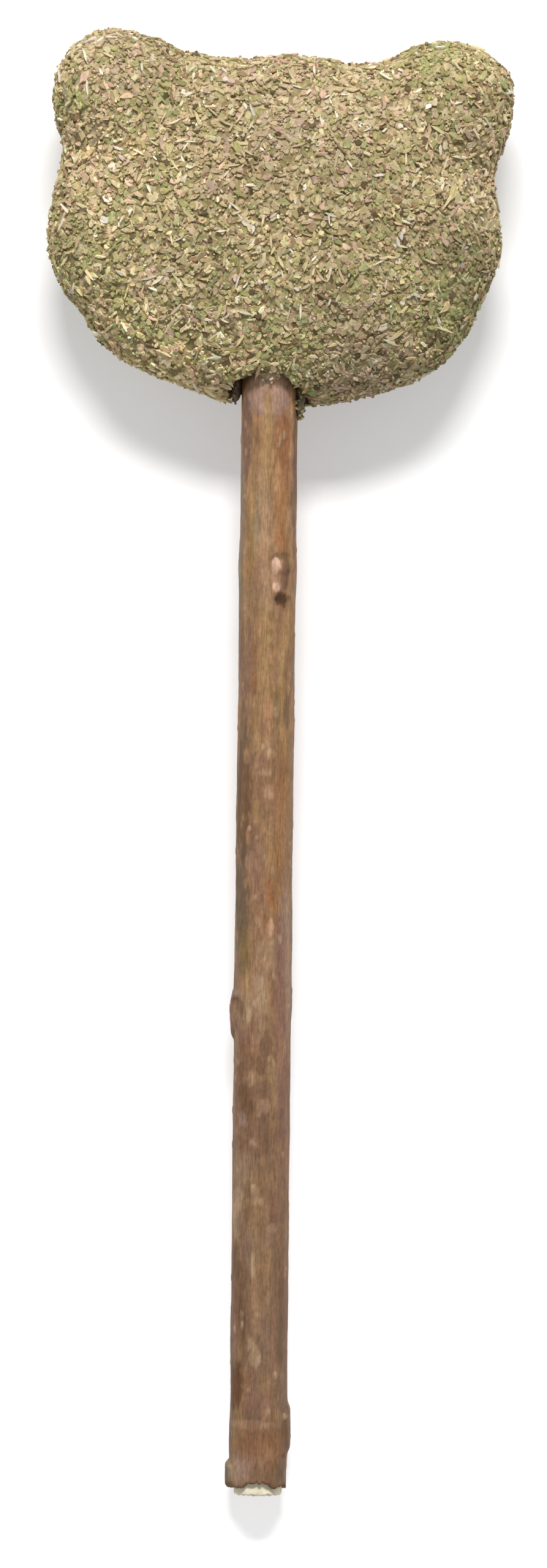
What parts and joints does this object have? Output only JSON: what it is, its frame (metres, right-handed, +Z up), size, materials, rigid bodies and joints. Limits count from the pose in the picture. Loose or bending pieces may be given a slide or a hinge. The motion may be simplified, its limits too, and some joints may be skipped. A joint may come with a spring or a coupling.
{
  "type": "cat chew toy",
  "caption": "Bear-head cake of pressed herb pasted onto a natural twig with bark, wood and pith; a chew toy for cats that lies on its back.",
  "frame": {"origin": "under the middle of the whole toy's box, on the surface that the toy lies on", "axes": "+Z up out of the head's front, away from the surface; +Y along the toy from the twig's cut end to the ears; +X to the right as one looks down on the front. The twig itself slopes about 2.6 degrees down towards its cut end, because the head is thicker than the twig"},
  "size_m": [0.0496, 0.1596, 0.0169],
  "materials": {
    "herb_cake": "dry, rough and matt: pressed chopped leaf and stem",
    "paste": "dry starch paste, dull",
    "bark": "thin natural bark, dry with a slight sheen",
    "sapwood": "raw cut end grain",
    "pith": "soft, dry and matt"
  },
  "bodies": {
    "root": {"pressed_head": "herb_cake", "socket_paste": "paste", "bark": "bark", "wood": "sapwood", "pith": "pith"}
  },
  "joints": []
}
